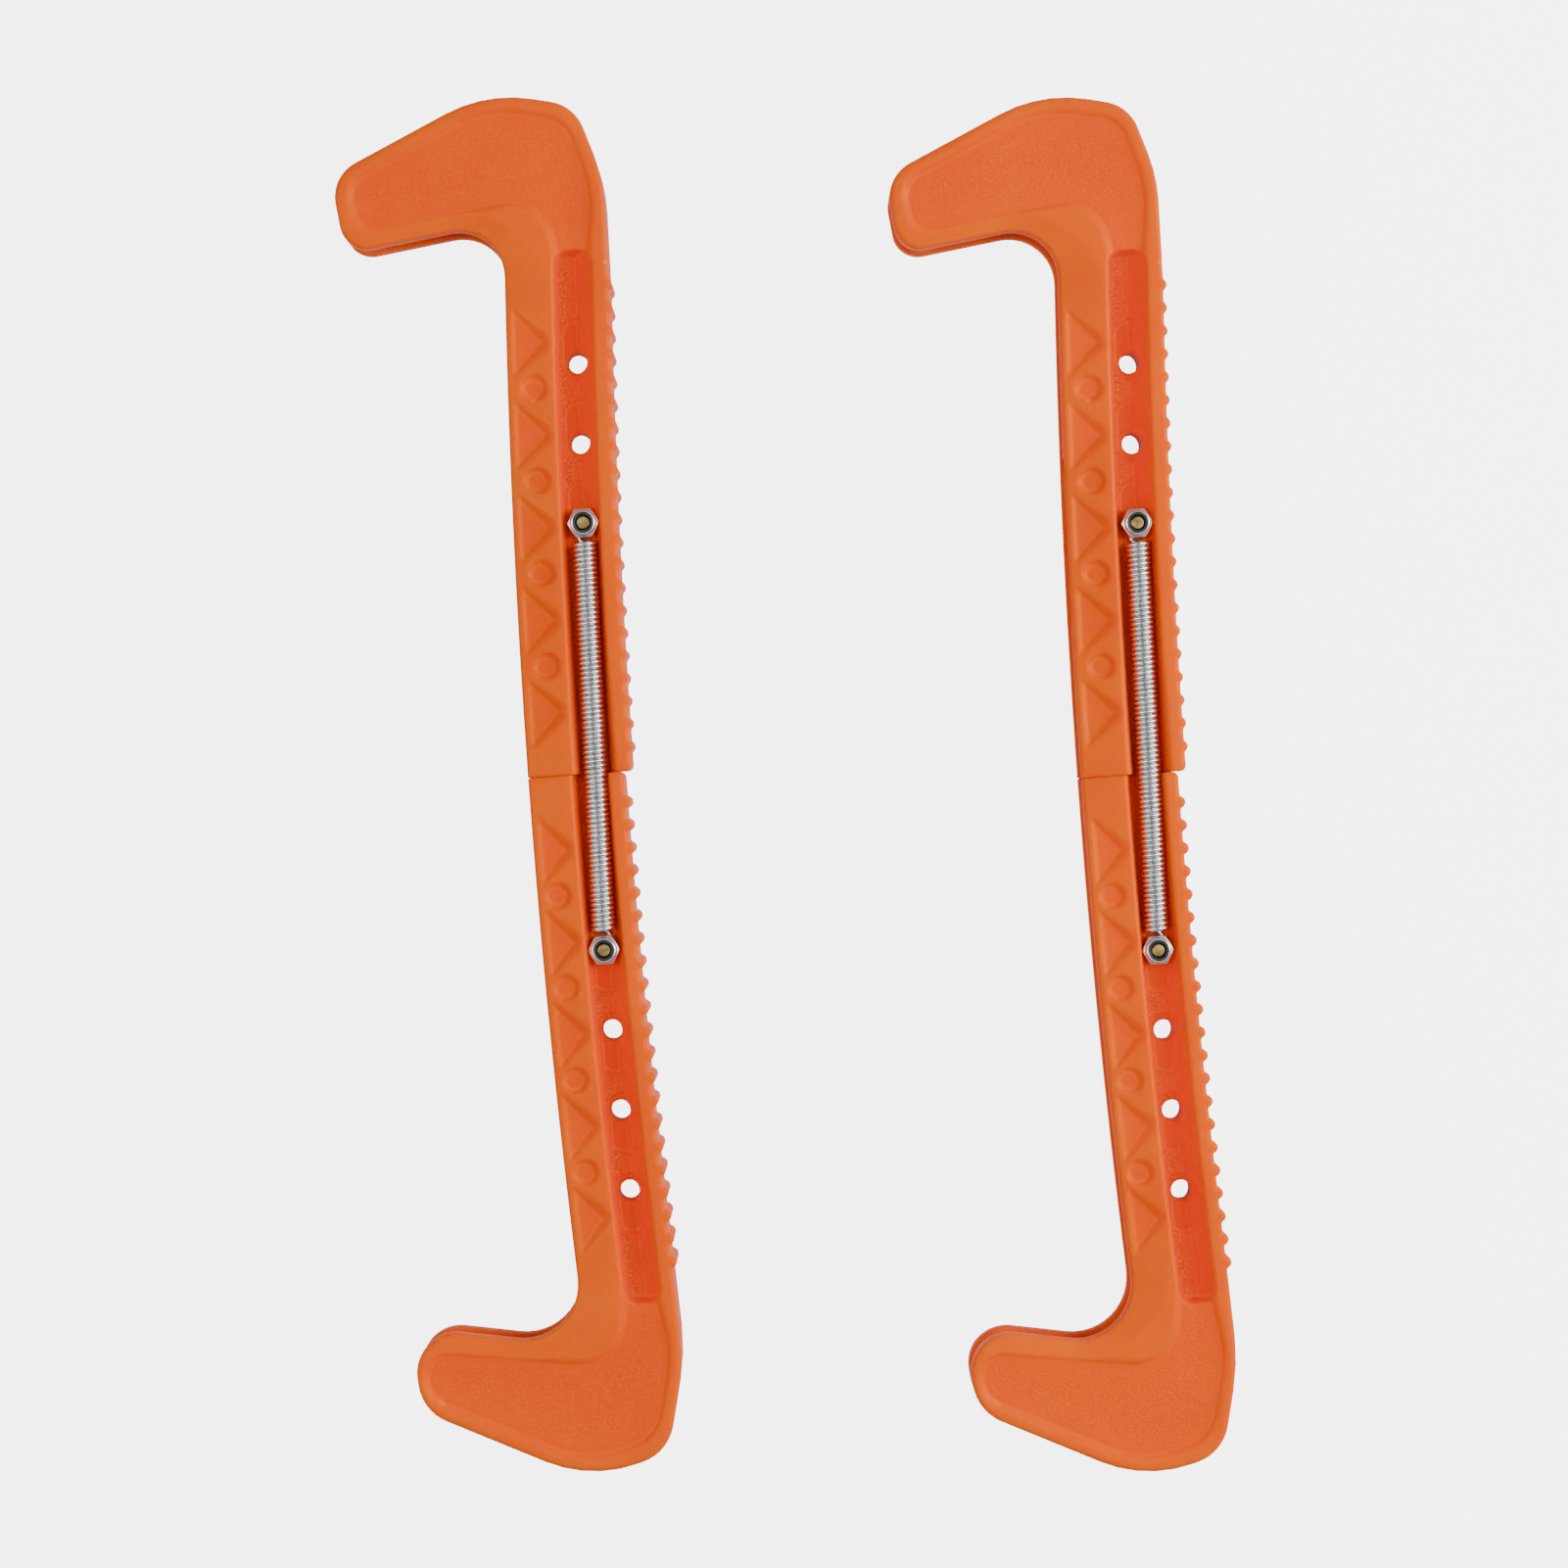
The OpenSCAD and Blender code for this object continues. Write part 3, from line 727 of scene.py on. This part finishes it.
def build_guards():
    shells = [(half["name"], *shell_parts(half)) for half in (TOE, HEEL)]
    step = SMALL_STEP * 1
    nut = surface_mesh(nut_field, (-3.4, -3.0, -0.3), (3.4, 3.0, 4.1), step)
    insert = surface_mesh(insert_field, (-2.2, -2.2, 2.4), (2.2, 2.2, 3.9), step)
    bolt = surface_mesh(bolt_field, (-3.0, -3.0, -2.4), (3.0, 3.0, 9.5), step)
    wire, wire_faces = sweep(spring_path(), WIRE_R, 10)
    for side in ("left", "right"):
        origin = guard_origin(side)
        for name, points, faces, values in shells:
            body = name.replace("shell", "half")
            place_piece(name, side, body, "shell_plastic", points + origin, faces, values)
        for end, place in (("toe", TOE_BOLT), ("heel", HEEL_BOLT)):
            body = end + "_half"
            top = origin + [*place, MID + CLAMP_HALF]
            bottom = origin + [*place, MID - CLAMP_HALF]
            place_piece(end + "_nut", side, body, "bright_zinc", nut[0] + top, nut[1])
            place_piece(end + "_nut_insert", side, body, "black_nylon", insert[0] + top, insert[1])
            place_piece(end + "_bolt", side, body, "yellow_zinc", bolt[0] + bottom, bolt[1])
        place_springs(side, origin, wire, wire_faces)


build_guards()


# ---------------------------------------------------------------- studio

CAMERA_TURN = math.radians(4.16)
VIEW_WIDTH = 0.3032        # width of the picture at the guards' upper faces
CAMERA_DISTANCE = 0.65
SENSOR_WIDTH = 36
FLOOR_SIZE = 6
FLOOR_DROP = 0.0003        # how far the floor lies below the guards, so that they don't share a plane
FLOOR_GLOW = (0.2, 5.0)    # of the lit table, on the guards and as seen
WORLD_GLOW = (0.25, 4.0)   # of the room, on the guards and as seen


def add_floor():
    bpy.ops.mesh.primitive_plane_add(size=FLOOR_SIZE, location=(0, 0, -FLOOR_DROP))
    floor = bpy.context.object
    floor.name = "floor"
    m = Nodes("floor_paper")
    m.put(m.shader, "Base Color", m.mix(m.noise(40, 2), (0.44, 0.44, 0.44), (0.46, 0.46, 0.46)))
    m.put(m.shader, "Roughness", 0.9)
    m.put(m.shader, "Emission Color", (1, 1, 1, 1))
    seen = m.add("ShaderNodeLightPath").outputs["Is Camera Ray"]
    m.put(m.shader, "Emission Strength", m.ramp(seen, 0, 1, *FLOOR_GLOW))
    floor.data.materials.append(m.material)


def add_light(name, place, size, power):
    """A white softbox that faces the guards."""
    light = bpy.data.lights.new(name, "AREA")
    light.shape = "RECTANGLE"
    light.size, light.size_y = size
    light.energy = power
    obj = bpy.data.objects.new(name, light)
    obj.location = place
    obj.rotation_euler = (-Vector(place)).to_track_quat("-Z", "Y").to_euler()
    bpy.context.collection.objects.link(obj)


def add_camera():
    camera = bpy.data.cameras.new("camera")
    camera.sensor_width = SENSOR_WIDTH
    camera.lens = SENSOR_WIDTH / VIEW_WIDTH * CAMERA_DISTANCE
    obj = bpy.data.objects.new("camera", camera)
    obj.location = (-0.0007, 0.0007, 2 * MID * MM + CAMERA_DISTANCE)
    obj.rotation_euler = (0, 0, -CAMERA_TURN)
    bpy.context.collection.objects.link(obj)
    bpy.context.scene.camera = obj


def add_world():
    world = bpy.data.worlds.new("studio")
    world.use_nodes = True
    nodes, links = world.node_tree.nodes, world.node_tree.links
    seen = nodes.new("ShaderNodeLightPath").outputs["Is Camera Ray"]
    strength = nodes.new("ShaderNodeMapRange")
    links.new(seen, strength.inputs["Value"])
    strength.inputs["To Min"].default_value, strength.inputs["To Max"].default_value = WORLD_GLOW
    nodes["Background"].inputs["Color"].default_value = (1, 1, 1, 1)
    links.new(strength.outputs["Result"], nodes["Background"].inputs["Strength"])
    bpy.context.scene.world = world


add_floor()
add_world()
add_light("left_softbox", (-0.8, 0.1, 0.6), (0.4, 1.2), 1.6)
add_light("right_softbox", (0.8, 0.12, 0.45), (0.35, 0.9), 9.5)
for across in (-0.65, 0.65):
    add_light("upper_softbox", (across, 0, 1.0), (0.25, 0.9), 4.8)
add_camera()
